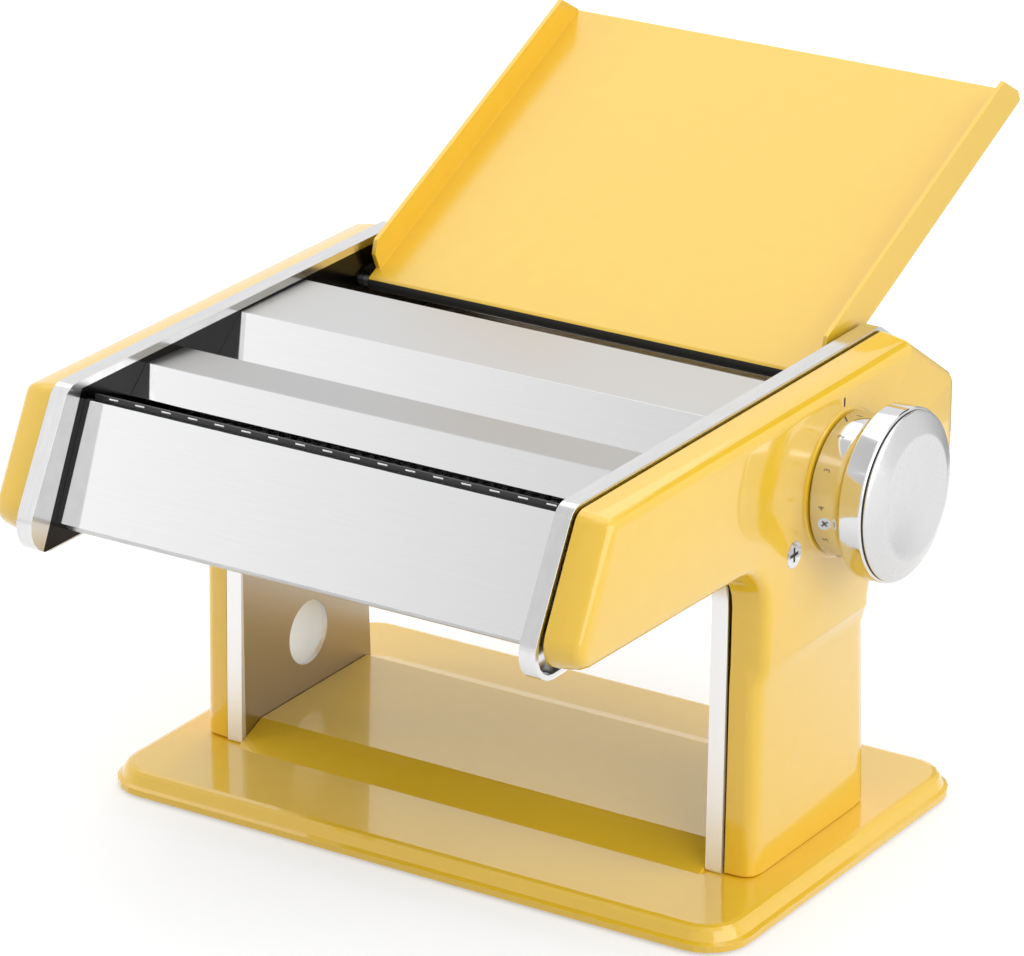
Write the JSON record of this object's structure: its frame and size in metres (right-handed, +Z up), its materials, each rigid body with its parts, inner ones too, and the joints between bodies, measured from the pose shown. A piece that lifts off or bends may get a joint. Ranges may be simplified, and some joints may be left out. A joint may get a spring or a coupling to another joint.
{
  "type": "pasta machine",
  "caption": "Hand-cranked pasta machine with smooth sheeting rollers, grooved cutters, pull-and-turn thickness knob and folding feed tray on a broad base.",
  "frame": {"origin": "centre of the pad's underside, on the table", "axes": "+X to the knob side, -Y to the nose, +Z up"},
  "size_m": [0.2271, 0.28, 0.1944],
  "materials": {
    "yellow_paint": "gloss",
    "polished_steel": "polished",
    "brushed_steel": "satin",
    "roller_aluminium": "satin",
    "white_nylon": "matte",
    "black_plastic": "matte",
    "pad_rubber": "matte",
    "satin_cap": "satin"
  },
  "bodies": {
    "frame": {"base_plate": "yellow_paint", "non_slip_pad": "pad_rubber", "left_side_plate": "polished_steel", "right_side_plate": "polished_steel", "left_cover": "yellow_paint", "right_cover": "yellow_paint", "clamp_sleeve": "white_nylon", "cover_posts": "brushed_steel", "cover_screws": "brushed_steel", "foot_screws": "brushed_steel", "foot_nuts": "brushed_steel", "tie_rods": "brushed_steel", "tie_nuts": "brushed_steel", "front_plate": "polished_steel", "divider_plate": "polished_steel", "roller_guard": "polished_steel", "rear_panel": "polished_steel", "roller_bushes": "white_nylon", "cutter_bushes": "white_nylon", "front_scraper": "black_plastic", "wide_combs": "black_plastic", "narrow_combs": "black_plastic", "tray_hinge_rod": "brushed_steel", "index_plate": "brushed_steel", "index_posts": "brushed_steel", "dial_bush": "white_nylon"},
    "front_roller": {"front_roller": "roller_aluminium", "front_roller_gear": "white_nylon", "front_roller_hub": "brushed_steel"},
    "roller_carriage": {"bearing_blocks": "white_nylon", "rear_scraper": "black_plastic"},
    "rear_roller": {"rear_roller": "roller_aluminium", "rear_roller_gear": "white_nylon"},
    "thickness_dial": {"dial_shaft": "brushed_steel", "knob_spring": "brushed_steel", "knob_washer": "brushed_steel", "knob_screw": "brushed_steel"},
    "thickness_knob": {"knob_barrel": "polished_steel", "knob_cap": "satin_cap", "index_pin": "brushed_steel"},
    "wide_cutter_rear": {"wide_cutter_rear": "brushed_steel", "wide_rear_gear": "white_nylon", "wide_cutter_hub": "brushed_steel"},
    "wide_cutter_front": {"wide_cutter_front": "brushed_steel", "wide_front_gear": "white_nylon"},
    "narrow_cutter_rear": {"narrow_cutter_rear": "brushed_steel", "narrow_rear_gear": "white_nylon", "narrow_cutter_hub": "brushed_steel"},
    "narrow_cutter_front": {"narrow_cutter_front": "brushed_steel", "narrow_front_gear": "white_nylon"},
    "feed_tray": {"feed_tray": "yellow_paint"}
  },
  "joints": [
    {"name": "front_roller_spin", "type": "hinge", "parent": "frame", "child": "front_roller", "pos_m": [0, -0.01635, 0.111], "axis": [1, 0, 0], "continuous": true},
    {"name": "dial_turn", "type": "hinge", "parent": "frame", "child": "thickness_dial", "pos_m": [0, 0.01065, 0.1141], "axis": [-1, 0, 0], "range_deg": [0, 180]},
    {"name": "carriage_slide", "type": "slide", "parent": "frame", "child": "roller_carriage", "axis": [0, -1, 0], "range_m": [0, 0.0025]},
    {"name": "rear_roller_spin", "type": "hinge", "parent": "roller_carriage", "child": "rear_roller", "pos_m": [0, 0.01845, 0.111], "axis": [1, 0, 0], "continuous": true},
    {"name": "knob_pull", "type": "slide", "parent": "thickness_dial", "child": "thickness_knob", "axis": [1, 0, 0], "range_m": [0, 0.005], "stiffness_N_per_m": 600, "springref_m": -0.004, "deforming": ["knob_spring"]},
    {"name": "wide_cutter_spin", "type": "hinge", "parent": "frame", "child": "wide_cutter_rear", "pos_m": [0, -0.0842, 0.1205], "axis": [1, 0, 0], "continuous": true},
    {"name": "wide_front_spin", "type": "hinge", "parent": "frame", "child": "wide_cutter_front", "pos_m": [0, -0.1026, 0.1205], "axis": [1, 0, 0], "continuous": true},
    {"name": "narrow_cutter_spin", "type": "hinge", "parent": "frame", "child": "narrow_cutter_rear", "pos_m": [0, -0.0442, 0.1205], "axis": [1, 0, 0], "continuous": true},
    {"name": "narrow_front_spin", "type": "hinge", "parent": "frame", "child": "narrow_cutter_front", "pos_m": [0, -0.0626, 0.1205], "axis": [1, 0, 0], "continuous": true},
    {"name": "tray_fold", "type": "hinge", "parent": "frame", "child": "feed_tray", "pos_m": [0, 0.033, 0.1334], "axis": [1, 0, 0], "range_deg": [0, 115]}
  ],
  "couplings": [
    {"joint": "rear_roller_spin", "follows": "front_roller_spin", "ratio": -1},
    {"joint": "dial_turn", "follows": "carriage_slide", "rad_per_m": 1256.6},
    {"joint": "wide_front_spin", "follows": "wide_cutter_spin", "ratio": -1},
    {"joint": "narrow_front_spin", "follows": "narrow_cutter_spin", "ratio": -1}
  ]
}
